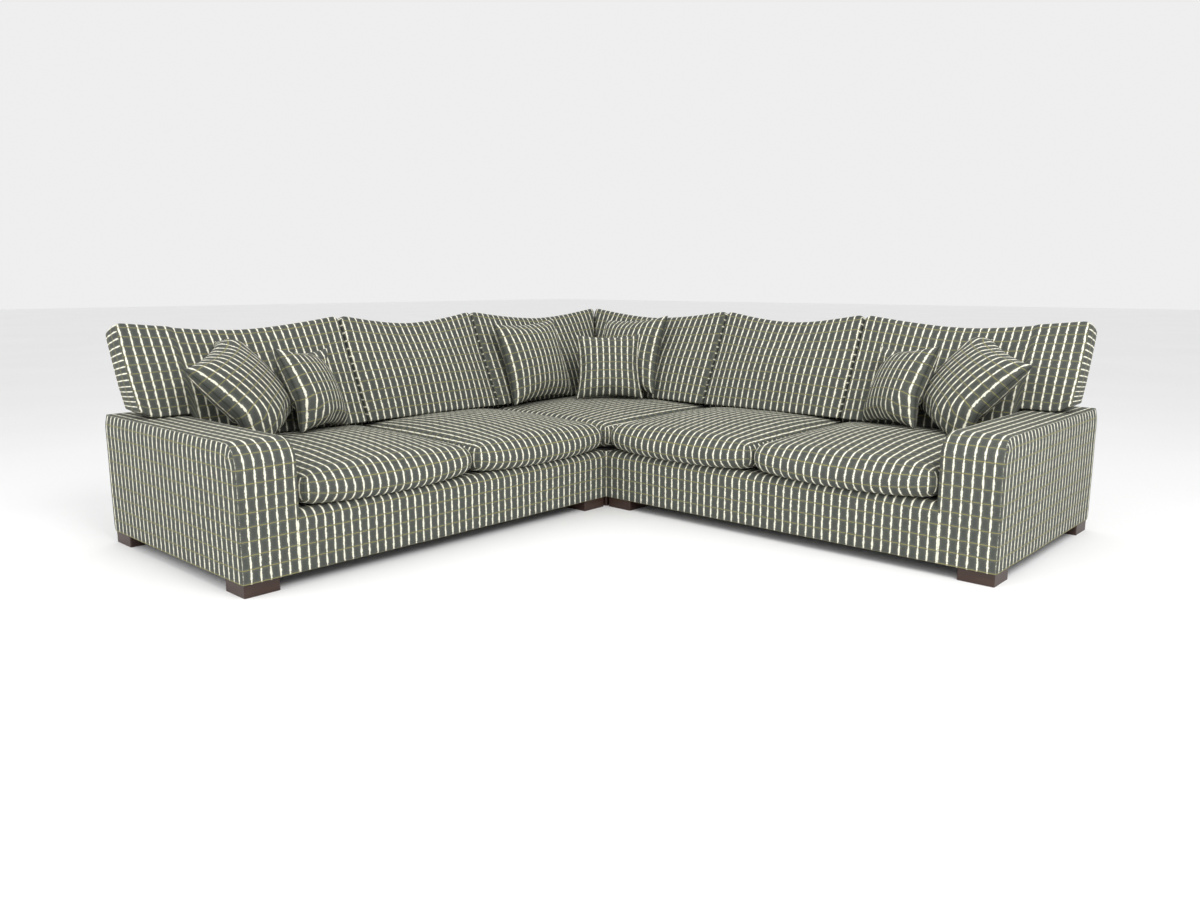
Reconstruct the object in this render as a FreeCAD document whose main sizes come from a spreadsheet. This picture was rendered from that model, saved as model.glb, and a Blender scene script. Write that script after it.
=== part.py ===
import FreeCAD, Part
import math
import os

import Sketcher

# Corner sofa in three bolted units: a corner unit and two armed wings, with loose cushions.
# Sizes are in millimetres. Pieces are drawn from the inner corner of the L, where the two seat
# fronts meet: the right wing runs along +X, its back is at +Y, and the left wing is its mirror image.
doc = FreeCAD.newDocument("corner_sofa")
sheet = doc.addObject("Spreadsheet::Sheet", "Sizes")

SIZES = (
    ("sofa_depth", 1100, "front of the base to the outer back"),
    ("seat_width", 806, "one seat cushion along the wing"),
    ("arm_width", 240, "arm, inside to outside"),
    ("arm_height", 536, "floor to top of the arm"),
    ("foot_height", 48, "floor to underside of the base"),
    ("foot_side", 135, "side of a square foot block"),
    ("foot_inset", 8, "foot block back from the faces of its unit"),
    ("foot_edge", 3, "broken upright edges of a foot block"),
    ("base_top", 272, "floor to top of the seat platform"),
    ("nose_radius", 45, "bull nose along the top of the base front"),
    ("border_wall", 22, "padding and cloth down the base front"),
    ("border_lip", 150, "base front turned back over the platform"),
    ("deck_thickness", 35, "felt and foam deck pad"),
    ("strap_width", 60, "elastic webbing strap"),
    ("strap_thickness", 2.5, "elastic webbing strap"),
    ("rail_thickness", 28, "timber rails and posts"),
    ("block_height", 62, "corner block over a foot"),
    ("board_thickness", 18, "boards of the arm"),
    ("side_wall", 6, "cloth and board on a unit's bolted side"),
    ("seat_front_top", 405, "floor to the top seam of a seat cushion"),
    ("seat_rest_height", 424, "floor to the seat where the back cushions stand"),
    ("seat_crown", 24, "how far a seat cushion domes above a straight line"),
    ("seat_swell", 12, "how far the front border of a seat cushion bulges"),
    ("seat_shoulder", 80, "length over which a seat cushion's ends draw in"),
    ("clear_seat", 761, "seat depth in front of the back cushions"),
    ("back_foot", 203, "depth of the back at seat level"),
    ("back_shoulder", 430, "floor to where the back starts to lean"),
    ("back_height", 612, "floor to the top of the back"),
    ("back_lean", 24.8, "lean of the back in degrees"),
    ("back_wall", 14, "padding and cloth of the back"),
    ("back_edge_radius", 12, "rounded top edges of the back"),
    ("back_cushion_top", 902, "floor to the top front seam of the back cushions"),
    ("back_cushion_thickness", 124, "back cushion, front seam to back seam"),
    ("back_cushion_crown", 26, "how far the front of a back cushion bulges"),
    ("back_cushion_dome", 9, "how far the top of a back cushion bulges"),
    ("back_cushion_shoulder", 60, "length over which a back cushion's ends draw in"),
    ("end_inset", 26, "over-arm end, back from the arm's outer face"),
    ("over_arm_space", 50, "space between the arm and the cushion above it"),
    ("arm_wall", 20, "padding on the arm's sides"),
    ("arm_pad", 36, "padding on the arm's top and front"),
    ("arm_nose_radius", 88, "rounded front top of the arm"),
    ("arm_inner_radius", 34, "rounded inner edge along the arm's front and top"),
    ("arm_outer_radius", 9, "outer edge along the arm's front and top"),
    ("arm_heel_radius", 28, "rounded lower back corner of the arm"),
    ("large_scatter", 452, "large scatter cushion, point to point along a side"),
    ("large_scatter_fill", 128, "large scatter cushion through its middle"),
    ("small_scatter", 372, "small scatter cushion, point to point along a side"),
    ("small_scatter_fill", 112, "small scatter cushion through its middle"),
    ("large_pressed_below", 195, "large end scatter cushion's middle above its pressed lower corner"),
    ("large_pressed_behind", 185, "large end scatter cushion's middle before its pressed rear corner"),
    ("small_pressed_below", 172, "small end scatter cushion's middle above its pressed lower corner"),
    ("scatter_draw_in", 0.09, "how far a scatter cushion's sides draw in, as a share of half a side"),
    ("large_from_arm", 178, "large scatter cushion's middle in from the arm"),
    ("small_from_arm", 482, "small scatter cushion's middle in from the arm"),
    ("corner_left_in", 35, "left corner scatter cushion back from the seat's front line"),
    ("corner_right_in", 290, "right corner scatter cushion in from the seat's end"),
    ("foam_height", 84, "foam block in a seat cushion"),
    ("foam_inset", 34, "foam block in from the seams of its cushion"),
    ("foam_cover", 17, "wrap and cover under the foam"),
    ("fit_gap", 0.3, "round a foam block in its cover"),
    ("cushion_gap", 1.2, "between cushions side by side"),
    ("rest_gap", 0.4, "between a cushion and what it rests on"),
    ("bolt_radius", 4, "bolt that joins two units"),
    ("bolt_clearance", 0.3, "round a bolt in its hole"),
    ("bolt_head_radius", 7.5, "corner radius of a hexagon head or nut"),
    ("bolt_head_height", 5.5, "bolt head and nut"),
    ("dust_cover", 1, "cloth under the frame"),
)
for row, (alias, value, note) in enumerate(SIZES, start=1):
    sheet.set(f"A{row}", note)
    sheet.set(f"B{row}", str(value))
    sheet.setAlias(f"B{row}", alias)
doc.recompute()


def size(alias):
    """A driving size from the sheet."""
    return float(sheet.get(alias))


def vec(x, y, z):
    return FreeCAD.Vector(x, y, z)


# Counts: the wings have two seats each, and the straps are spread evenly.
SEATS_IN_WING = 2
WING_STRAPS = 8
CORNER_STRAPS = 5
BACK_STRAPS = 3
BACK_POSTS = 4

# Lengths that several pieces share, as expressions of the sheet and as numbers.
RUN = f"(Sizes.seat_width * {SEATS_IN_WING})"
SHIFT = f"(({RUN} + Sizes.arm_width - Sizes.sofa_depth) / 2)"
RAIL_TOP = "(Sizes.base_top - Sizes.deck_thickness - Sizes.strap_thickness)"
SEAT_BACK = "(Sizes.sofa_depth - Sizes.back_foot)"
REAR = "(Sizes.sofa_depth - Sizes.back_wall)"
FRONT = "Sizes.border_wall"
LEFT = "Sizes.side_wall"
RAIL = "Sizes.rail_thickness"
BOTTOM = "Sizes.foot_height"
BLOCK = "Sizes.foot_side"
RAIL_HEIGHT = f"({RAIL_TOP} - {BOTTOM})"

run = size("seat_width") * SEATS_IN_WING
depth = size("sofa_depth")
seat_back = depth - size("back_foot")
slope = math.tan(math.radians(size("back_lean")))
gap = size("rest_gap")
side_gap = size("cushion_gap") / 2


def name_part(item, label):
    """Name a finished piece and move it from the inner corner to the middle of the sofa's outline."""
    item.Label = label
    item.setExpression("Placement.Base.x", f"-{SHIFT}")
    item.setExpression("Placement.Base.y", SHIFT)
    return item


def bind(item, **expressions):
    """Tie properties of an object to expressions of the sheet; at_x, at_y and at_z are its place."""
    for name, expression in expressions.items():
        path = f"Placement.Base.{name[-1]}" if name.startswith("at_") else name
        item.setExpression(path, expression)
    return item


def box(length, width, height, x, y, z):
    """A block whose sizes and place are expressions of the sheet."""
    item = doc.addObject("Part::Box", "block")
    return bind(item, Length=length, Width=width, Height=height, at_x=x, at_y=y, at_z=z)


def rod(radius, length, x, y, z, along_x=False):
    """A round rod, upright or along X, from expressions of the sheet."""
    item = doc.addObject("Part::Cylinder", "rod")
    if along_x:
        item.Placement.Rotation = FreeCAD.Rotation(vec(0, 1, 0), 90)
    return bind(item, Radius=radius, Height=length, at_x=x, at_y=y, at_z=z)


def fuse(pieces):
    item = doc.addObject("Part::MultiFuse", "joined")
    item.Shapes = pieces
    return item


def group(pieces):
    item = doc.addObject("Part::Compound", "group")
    item.Links = pieces
    return item


def cut(base, tool):
    item = doc.addObject("Part::Cut", "cut")
    item.Base = base
    item.Tool = tool
    return item


def common(base, tool):
    item = doc.addObject("Part::Common", "common")
    item.Base = base
    item.Tool = tool
    return item


def mirrored(source):
    """A twin across the upright plane through the inner and outer corners."""
    item = doc.addObject("Part::Mirroring", "mirrored")
    item.Source = source
    item.Base = vec(0, 0, 0)
    item.Normal = vec(1, 1, 0)
    return item


def point(y, y_text, z, z_text):
    """A corner of a side outline: each coordinate as a number and as its expression, None on an axis."""
    return (y, y_text), (z, z_text)


def padded_body(corners, length, start):
    """A body padded along +X from a closed side outline whose corners are bound to the sheet."""
    body = doc.addObject("PartDesign::Body", "body")
    sketch = body.newObject("Sketcher::SketchObject", "side")
    plane = [f for f in body.Origin.OriginFeatures if f.Role == "YZ_Plane"][0]
    sketch.AttachmentSupport = [(plane, "")]
    sketch.MapMode = "FlatFace"
    count = len(corners)
    for i, (y, z) in enumerate(corners):
        following = corners[(i + 1) % count]
        sketch.addGeometry(
            Part.LineSegment(vec(y[0], z[0], 0), vec(following[0][0], following[1][0], 0)), False)
    for i in range(count):
        sketch.addConstraint(Sketcher.Constraint("Coincident", i, 2, (i + 1) % count, 1))
    for i, (y, z) in enumerate(corners):
        for kind, axis, (value, text) in (("DistanceX", -2, y), ("DistanceY", -1, z)):
            if text is None:
                sketch.addConstraint(Sketcher.Constraint("PointOnObject", i, 1, axis))
            else:
                number = sketch.addConstraint(Sketcher.Constraint(kind, -1, 1, i, 1, value))
                sketch.setExpression(f"Constraints[{number}]", text)
    sketch.setExpression("AttachmentOffset.Base.z", start)
    pad = body.newObject("PartDesign::Pad", "pad")
    pad.Profile = sketch
    pad.setExpression("Length", length)
    doc.recompute()
    return body


def round_edges(body, radius, wanted):
    """Round the edges of a body whose two end points satisfy wanted()."""
    last = body.Tip
    names = [f"Edge{i}" for i, e in enumerate(last.Shape.Edges, start=1)
             if wanted(e.Vertexes[0].Point, e.Vertexes[-1].Point)]
    item = body.newObject("PartDesign::Fillet", "round")
    item.Base = (last, names)
    item.setExpression("Radius", radius)
    doc.recompute()
    return item


def near(value, wanted):
    return abs(value - wanted) < 0.01


# Timber base frames: rails round the unit, a middle rail, rails that carry the back and its straps,
# and a block over each foot for its screws.
def base_frame(left, right, front, middle, spring_rails, block_lefts):
    wide = f"({right} - {left})"
    deep = f"({REAR} - {front})"
    rails = [
        box(wide, RAIL, RAIL_HEIGHT, left, front, BOTTOM),
        box(wide, RAIL, RAIL_HEIGHT, left, f"{REAR} - {RAIL}", BOTTOM),
        box(RAIL, deep, RAIL_HEIGHT, left, front, BOTTOM),
        box(RAIL, deep, RAIL_HEIGHT, f"{right} - {RAIL}", front, BOTTOM),
        box(RAIL, deep, RAIL_HEIGHT, f"{middle} - {RAIL} / 2", front, BOTTOM),
    ]
    for along_x, place in spring_rails:
        if along_x:
            rails.append(box(wide, RAIL, RAIL_HEIGHT, left, place, BOTTOM))
        else:
            rails.append(box(RAIL, deep, RAIL_HEIGHT, place, front, BOTTOM))
    for x in block_lefts:
        for y in (front, f"{REAR} - {BLOCK}"):
            rails.append(box(BLOCK, BLOCK, "Sizes.block_height", x, y, BOTTOM))
    return fuse(rails)


def foot_places(left, right):
    """Corners of four foot blocks set in from the faces of a unit."""
    inset = "Sizes.foot_inset"
    return [(x, y)
            for x in (f"{left} + {inset}", f"{right} - {inset} - {BLOCK}")
            for y in (inset, f"Sizes.sofa_depth - {inset} - {BLOCK}")]


def feet_of(places):
    """Square timber blocks with broken edges, screwed up into the frame's corner blocks."""
    blocks = []
    for x, y in places:
        block = box(BLOCK, BLOCK, BOTTOM, x, y, "0")
        doc.recompute()
        upright = [i for i, e in enumerate(block.Shape.Edges, start=1)
                   if abs(e.Vertexes[0].Z - e.Vertexes[-1].Z) > 1]
        edged = doc.addObject("Part::Chamfer", "edged")
        edged.Base = block
        edged.Edges = [(i, size("foot_edge"), size("foot_edge")) for i in upright]
        blocks.append(edged)
    return group(blocks)


def unit_bolts(clearance=None):
    """Hexagon bolts and nuts that pull a wing to the corner unit, or the holes they need."""
    reach = f"(Sizes.side_wall + {RAIL})"
    height = f"({BOTTOM} + {RAIL_HEIGHT} * 0.7)"
    extra = clearance or "0"
    bolts = []
    for y in ("Sizes.clear_seat * 0.35", "Sizes.clear_seat * 0.8"):
        shank = rod(f"Sizes.bolt_radius + {extra}", f"2 * {reach} + 2 * {extra}",
                    f"-{reach} - {extra}", y, height, along_x=True)
        heads = []
        for x in (f"-{reach} - Sizes.bolt_head_height", reach):
            head = doc.addObject("Part::Prism", "hexagon")
            head.Polygon = 6
            head.Placement.Rotation = FreeCAD.Rotation(vec(0, 1, 0), 90)
            bind(head, Circumradius="Sizes.bolt_head_radius", Height="Sizes.bolt_head_height",
                 at_x=x, at_y=y, at_z=height)
            heads.append(head)
        bolts.append(shank if clearance else fuse([shank] + heads))
    return group(bolts)


wing_feet = foot_places("0", f"({RUN} + Sizes.arm_width)")
corner_feet = foot_places("(-Sizes.sofa_depth)", "0")


name_part(
    cut(base_frame(LEFT, RUN, FRONT, f"({RUN} / 2)", [(True, SEAT_BACK)], [LEFT]),
        unit_bolts("Sizes.bolt_clearance")),
    "seat_frame_right")
CORNER_LEFT = f"(-{REAR})"
CORNER_RIGHT = "(-Sizes.side_wall)"
name_part(
    cut(base_frame(CORNER_LEFT, CORNER_RIGHT, "Sizes.side_wall", f"(-{SEAT_BACK} / 2)",
                   [(True, SEAT_BACK), (False, f"-{SEAT_BACK} - {RAIL}")],
                   [CORNER_LEFT, f"{CORNER_RIGHT} - {BLOCK}"]),
        group([unit_bolts("Sizes.bolt_clearance"), mirrored(unit_bolts("Sizes.bolt_clearance"))])),
    "seat_frame_corner")

name_part(feet_of(wing_feet), "feet_right")
name_part(feet_of(corner_feet), "feet_corner")
name_part(unit_bolts(), "unit_bolts_right")

# Base front of the right wing: a bull-nosed padded border over the front rail, and a thin cloth
# side where the wing is bolted to the corner unit.
UNDER = "(Sizes.base_top - Sizes.deck_thickness)"
low, high = size("foot_height"), size("base_top")
wall, lip, under = size("border_wall"), size("border_lip"), high - size("deck_thickness")
border = padded_body(
    [point(0, None, low, BOTTOM), point(wall, FRONT, low, BOTTOM),
     point(wall, FRONT, under, UNDER), point(lip, "Sizes.border_lip", under, UNDER),
     point(lip, "Sizes.border_lip", high, "Sizes.base_top"), point(0, None, high, "Sizes.base_top")],
    RUN, "0")
round_edges(border, "Sizes.nose_radius",
            lambda a, b: near(a.y, 0) and near(b.y, 0) and near(a.z, high) and near(b.z, high))
side = box("Sizes.side_wall", f"{REAR} - {FRONT}", f"{RAIL_TOP} - {BOTTOM}", "0", FRONT, BOTTOM)
name_part(
    cut(fuse([border, side]), unit_bolts("Sizes.bolt_clearance")), "base_border_right")

# The corner unit has cloth sides only, rounded where they show between the two wings. They reach
# the top of the platform in front of the back, and its straps below it.
corner_side = fuse([
    box("Sizes.side_wall", SEAT_BACK, f"Sizes.base_top - {BOTTOM}", "-Sizes.side_wall", "0", BOTTOM),
    box("Sizes.side_wall", REAR, f"{UNDER} - {BOTTOM}", "-Sizes.side_wall", "0", BOTTOM)])
corner_sides = fuse([corner_side, mirrored(corner_side)])
doc.recompute()
inner_edge = [i for i, e in enumerate(corner_sides.Shape.Edges, start=1)
              if all(near(v.X, 0) and near(v.Y, 0) for v in e.Vertexes)]
rounded_sides = doc.addObject("Part::Fillet", "rounded")
rounded_sides.Base = corner_sides
rounded_sides.Edges = [(i, size("side_wall") * 2, size("side_wall") * 2) for i in inner_edge]
name_part(
    cut(rounded_sides,
        group([unit_bolts("Sizes.bolt_clearance"), mirrored(unit_bolts("Sizes.bolt_clearance"))])),
    "base_border_corner")


# Elastic straps front to back over the rails, the deck pad over them, and the cloth underneath.
def seat_straps(count, left, right, front):
    """Evenly spaced straps from the front rail to the rail under the back."""
    pitch = f"(({right} - {left}) / {count})"
    return group([
        box("Sizes.strap_width", f"{SEAT_BACK} + {RAIL} - {front}", "Sizes.strap_thickness",
            f"{left} + {pitch} * {i + 0.5} - Sizes.strap_width / 2", front, RAIL_TOP)
        for i in range(count)])


name_part(seat_straps(WING_STRAPS, LEFT, RUN, FRONT), "seat_webbing_right")
name_part(seat_straps(CORNER_STRAPS, f"(-{SEAT_BACK})", CORNER_RIGHT, "Sizes.side_wall"),
          "seat_webbing_corner")
name_part(group([box(RUN, f"{SEAT_BACK} - Sizes.border_lip", "Sizes.deck_thickness",
                     "0", "Sizes.border_lip", UNDER)]), "seat_deck_right")
name_part(group([box(f"{SEAT_BACK} - Sizes.side_wall", f"{SEAT_BACK} - Sizes.side_wall",
                     "Sizes.deck_thickness", f"-{SEAT_BACK}", "Sizes.side_wall", UNDER)]),
          "seat_deck_corner")


def dust_cover(left, right, front, places):
    """Cloth stapled under the frame, cut round the feet."""
    cloth = box(f"{right} - {left}", f"{REAR} - {front}", "Sizes.dust_cover",
                left, front, f"{BOTTOM} - Sizes.dust_cover")
    holes = [box(BLOCK, BLOCK, BOTTOM, x, y, "0") for x, y in places]
    return cut(cloth, group(holes))


name_part(dust_cover(LEFT, f"({RUN} + Sizes.arm_width - Sizes.arm_wall)", FRONT, wing_feet),
          "dust_cover_right")
name_part(dust_cover(CORNER_LEFT, CORNER_RIGHT, "Sizes.side_wall", corner_feet), "dust_cover_corner")


# The back: a leaning upholstered shell, open below, over timber posts and rails with elastic straps.
def back_outline(inset, bottom, bottom_text):
    """Side outline of the back, drawn in by inset, a length and its expression."""
    amount, text = inset
    top, top_text = size("back_height") - amount, f"Sizes.back_height - {text}"
    shoulder = size("back_shoulder")
    front = seat_back + amount
    front_text = f"{SEAT_BACK} + {text}"
    top_front = front + (top - shoulder) * slope
    top_front_text = f"{front_text} + ({top_text} - Sizes.back_shoulder) * tan(Sizes.back_lean)"
    back = depth - min(amount, size("back_wall"))
    back_text = "Sizes.sofa_depth" if amount == 0 else REAR
    return [point(front, front_text, bottom, bottom_text),
            point(back, back_text, bottom, bottom_text),
            point(back, back_text, top, top_text),
            point(top_front, top_front_text, top, top_text),
            point(front, front_text, shoulder, "Sizes.back_shoulder")]


strap = size("strap_thickness")
OUTER = (0, "0")
INNER = (size("back_wall"), "Sizes.back_wall")
FRAME = (size("back_wall") + strap, "(Sizes.back_wall + Sizes.strap_thickness)")


def back_cover(start, length, inner_start, inner_length):
    """Upholstered back of a unit, hollow and open underneath, with its back wall down to the base."""
    outer = padded_body(back_outline(OUTER, under, UNDER), length, start)
    top = size("back_height")
    round_edges(outer, "Sizes.back_edge_radius",
                lambda a, b: near(a.z, top) and near(b.z, top) and near(a.y, b.y))
    apron = box(length, "Sizes.back_wall", f"{UNDER} - {BOTTOM}", start, REAR, BOTTOM)
    hollow = padded_body(back_outline(INNER, under, UNDER), inner_length, inner_start)
    return fuse([cut(outer, hollow), apron])


def back_timber(start, length, posts):
    """Posts cut to the lean of the back, with a top rail and a shoulder rail."""
    prism = padded_body(back_outline(FRAME, under, UNDER), length, start)
    spacing = f"(({length} - {RAIL}) / {posts - 1})"
    lean_room = "Sizes.back_foot"
    slabs = [box(RAIL, lean_room, "Sizes.back_height", f"{start} + {spacing} * {i}", SEAT_BACK, UNDER)
             for i in range(posts)]
    slabs.append(box(length, lean_room, f"2 * {RAIL}", start, SEAT_BACK,
                     f"Sizes.back_height - Sizes.back_wall - Sizes.strap_thickness - 2 * {RAIL}"))
    slabs.append(box(length, lean_room, RAIL, start, SEAT_BACK, f"Sizes.back_shoulder - {RAIL}"))
    slabs.append(box(length, lean_room, RAIL, start, SEAT_BACK, UNDER))
    return common(prism, fuse(slabs))


def back_straps(start, length):
    """Straps along the leaning face, between the timber and the cover."""
    hollow = padded_body(back_outline(INNER, under, UNDER), length, start)
    timber = padded_body(back_outline(FRAME, under, UNDER), length, start)
    thin = cut(hollow, timber)
    pitch = f"((Sizes.back_height - Sizes.back_wall - Sizes.back_shoulder) / {BACK_STRAPS})"
    width = f"({pitch} * 0.6)"
    bands = [box(length, "Sizes.back_foot - 2 * Sizes.back_wall", width, start, SEAT_BACK,
                 f"Sizes.back_shoulder + {pitch} * {i} + {pitch} * 0.15")
             for i in range(BACK_STRAPS)]
    return common(thin, group(bands))


inside = f"({RUN} - 2 * Sizes.side_wall)"
name_part(back_cover("0", RUN, LEFT, inside), "back_cover_right")
name_part(back_timber(LEFT, inside, BACK_POSTS), "back_frame_right")
name_part(back_straps(LEFT, inside), "back_webbing_right")

corner_hollow = f"({REAR} - Sizes.side_wall)"


def both_ways(item):
    """A corner piece: the same form along the right back and along the left back."""
    return fuse([item, mirrored(item)])


outer = padded_body(back_outline(OUTER, under, UNDER), "Sizes.sofa_depth", "-Sizes.sofa_depth")
hollow = padded_body(back_outline(INNER, under, UNDER), corner_hollow, CORNER_LEFT)
apron = box("Sizes.sofa_depth", "Sizes.back_wall", f"{UNDER} - {BOTTOM}", "-Sizes.sofa_depth", REAR, BOTTOM)
# Its cover is sewn in two halves, which meet in a seam down the outer corner.
half_plane = box("3 * Sizes.sofa_depth", "3 * Sizes.sofa_depth", "Sizes.back_height",
                 "1.5 * Sizes.sofa_depth * sin(45)", "-1.5 * Sizes.sofa_depth * sin(45)", "0")
half_plane.Placement.Rotation = FreeCAD.Rotation(vec(0, 0, 1), 45)
whole = fuse([cut(both_ways(outer), both_ways(hollow)), both_ways(apron)])
name_part(common(whole, half_plane), "back_cover_corner_right")
name_part(both_ways(back_timber(CORNER_LEFT, corner_hollow, BACK_POSTS - 1)), "back_frame_corner")
corner_straps = f"({SEAT_BACK} - 2 * Sizes.side_wall)"
name_part(group([back_straps(f"(Sizes.side_wall - {SEAT_BACK})", corner_straps),
                 mirrored(back_straps(f"(Sizes.side_wall - {SEAT_BACK})", corner_straps))]),
          "back_webbing_corner")

# The arm: a padded slab with a rounded front top, hollow for its boards and open underneath.
arm_top = size("arm_height")
arm = padded_body(
    [point(0, None, low, BOTTOM), point(depth, "Sizes.sofa_depth", low, BOTTOM),
     point(depth, "Sizes.sofa_depth", arm_top, "Sizes.arm_height"),
     point(0, None, arm_top, "Sizes.arm_height")],
    "Sizes.arm_width", RUN)
round_edges(arm, "Sizes.arm_nose_radius",
            lambda a, b: near(a.y, 0) and near(b.y, 0) and near(a.z, arm_top) and near(b.z, arm_top))
round_edges(arm, "Sizes.arm_heel_radius",
            lambda a, b: near(a.y, depth) and near(b.y, depth) and near(a.z, low) and near(b.z, low))
round_edges(arm, "Sizes.arm_inner_radius",
            lambda a, b: near(a.x, run) and near(b.x, run) and near(a.z, arm_top) and near(b.z, arm_top)
            and not near(a.y, b.y))
outside = run + size("arm_width")
round_edges(arm, "Sizes.arm_outer_radius",
            lambda a, b: near(a.x, outside) and near(b.x, outside) and near(a.z, arm_top)
            and near(b.z, arm_top) and not near(a.y, b.y))
ROOM = "(Sizes.arm_width - 2 * Sizes.arm_wall)"
ROOM_DEEP = "(Sizes.sofa_depth - Sizes.arm_pad - Sizes.arm_wall)"
ROOM_HIGH = f"(Sizes.arm_height - Sizes.arm_pad - {BOTTOM})"
ROOM_LEFT = f"({RUN} + Sizes.arm_wall)"
BOARD = "Sizes.board_thickness"
name_part(cut(arm, box(ROOM, ROOM_DEEP, ROOM_HIGH, ROOM_LEFT, "Sizes.arm_pad", BOTTOM)),
          "arm_cover_right")
ROOM_TOP = f"({BOTTOM} + {ROOM_HIGH})"
arm_boards = fuse([
    box(ROOM, ROOM_DEEP, BOARD, ROOM_LEFT, "Sizes.arm_pad", BOTTOM),
    box(ROOM, ROOM_DEEP, BOARD, ROOM_LEFT, "Sizes.arm_pad", f"{ROOM_TOP} - {BOARD}"),
    box(ROOM, BOARD, ROOM_HIGH, ROOM_LEFT, "Sizes.arm_pad", BOTTOM),
    box(ROOM, BOARD, ROOM_HIGH, ROOM_LEFT, f"Sizes.arm_pad + {ROOM_DEEP} - {BOARD}", BOTTOM),
    box(ROOM, BOARD, ROOM_HIGH, ROOM_LEFT, f"Sizes.arm_pad + ({ROOM_DEEP} - {BOARD}) / 2", BOTTOM),
    box(BOARD, ROOM_DEEP, f"{ROOM_HIGH} * 0.22", ROOM_LEFT, "Sizes.arm_pad", BOTTOM)])
name_part(arm_boards, "arm_frame_right")


# Free forms: seat, back and scatter cushions, as lofts through lines and shallow arcs.
def arc(start, end, bulge_way, bulge):
    """A shallow arc between two points, bulging by a length in a direction."""
    middle = (start + end) * 0.5 + bulge_way.normalize() * bulge
    return Part.Arc(start, middle, end).toShape()


def line(start, end):
    return Part.LineSegment(start, end).toShape()


def shape_part(shape, label):
    """A piece with a free form, from sizes read off the sheet."""
    item = doc.addObject("Part::Feature", label)
    item.Shape = shape
    return name_part(item, label)


def drawn_in(length, shoulder, shrink):
    """Places along a cushion and the size of its section there: smaller near both ends."""
    steps = ((0, 1 - shrink), (shoulder * 0.3, 1 - shrink * 0.4), (shoulder, 1))
    return [(x, k) for x, k in steps] + [(length - x, k) for x, k in reversed(steps)]


def section_loft(section, start, length, shoulder, shrink):
    """A boxed cushion along X, lofted through sections that shrink towards its ends."""
    wires = [section(start + x, k) for x, k in drawn_in(length, shoulder, shrink)]
    return Part.makeLoft(wires, True, True)


SEAT_SHRINK = 0.035
seat_bottom = size("base_top") + gap
seat_depth = seat_back - gap


def seat_section(x, k):
    """Seat cushion from the side: flat below, boxed front, crowned top, flat under the back cushion."""
    centre = vec(x, seat_depth / 2, seat_bottom)

    def at(y, z):
        return centre + (vec(x, y, z) - centre) * k

    front_low, front_high = at(0, seat_bottom), at(0, size("seat_front_top"))
    rest = at(size("clear_seat"), size("seat_rest_height"))
    back_high, back_low = at(seat_depth, size("seat_rest_height")), at(seat_depth, seat_bottom)
    return Part.Wire([
        arc(front_low, front_high, vec(0, -1, 0), size("seat_swell") * k),
        arc(front_high, rest, vec(0, 0, 1), size("seat_crown") * k),
        line(rest, back_high), line(back_high, back_low), line(back_low, front_low)])


def block(x0, x1, y0, y1, z0, z1):
    return Part.makeBox(x1 - x0, y1 - y0, z1 - z0, vec(x0, y0, z0))


def foam_in(x0, x1, y0, y1, inset):
    """The space for a foam block in a seat cushion, or the block itself, drawn in by inset."""
    edge = size("foam_inset") + inset
    low_face = seat_bottom + size("foam_cover") + inset
    high_face = seat_bottom + size("foam_cover") + size("foam_height") - inset
    return block(x0 + edge, x1 - edge, y0 + edge, y1 - edge, low_face, high_face)


def add_seat(cover, name, x0, x1, y0, y1):
    """A seat cushion's cover round its foam, and the foam."""
    shape_part(cover.cut(foam_in(x0, x1, y0, y1, 0)), f"seat_cushion_{name}")
    shape_part(foam_in(x0, x1, y0, y1, size("fit_gap")), f"seat_foam_{name}")
    return cover


seats = {}
for number, name in enumerate(("inner_right", "end_right")):
    x0 = number * size("seat_width") + side_gap
    x1 = (number + 1) * size("seat_width") - side_gap
    cover = section_loft(seat_section, x0, x1 - x0, size("seat_shoulder"), SEAT_SHRINK)
    seats[name] = add_seat(cover, name, x0, x1, 0, seat_depth)


def square_ring(half, height, drawn_in, parts, centre=vec(0, 0, 0)):
    """Points round a square whose sides curve inwards by drawn_in, a number of parts to each side."""
    points = []
    for quarter in range(4):
        turn = FreeCAD.Rotation(vec(0, 0, 1), 90 * quarter)
        for i in range(parts):
            t = i / parts
            inwards = 4 * t * (1 - t) * drawn_in
            points.append(centre + turn.multVec(vec(half * (2 * t - 1), inwards - half, height)))
    return points


def ringed_solid(rings):
    """A solid of flat faces between rings of points, closed by the first and the last ring."""
    def face(points):
        return Part.Face(Part.makePolygon(points + points[:1]))

    faces = [face(rings[0]), face(rings[-1])]
    for low, high in zip(rings, rings[1:]):
        for i in range(len(low)):
            faces.append(face([low[i - 1], low[i], high[i], high[i - 1]]))
    return Part.makeSolid(Part.makeShell(faces))


def crown(steps, power):
    """Width and height, as shares, of the rings of a cushion's face from its seam to near its middle."""
    angles = [math.radians(90 * i / steps) for i in range(steps)]
    return [(math.cos(a), math.sin(a) ** power) for a in angles]


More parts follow.
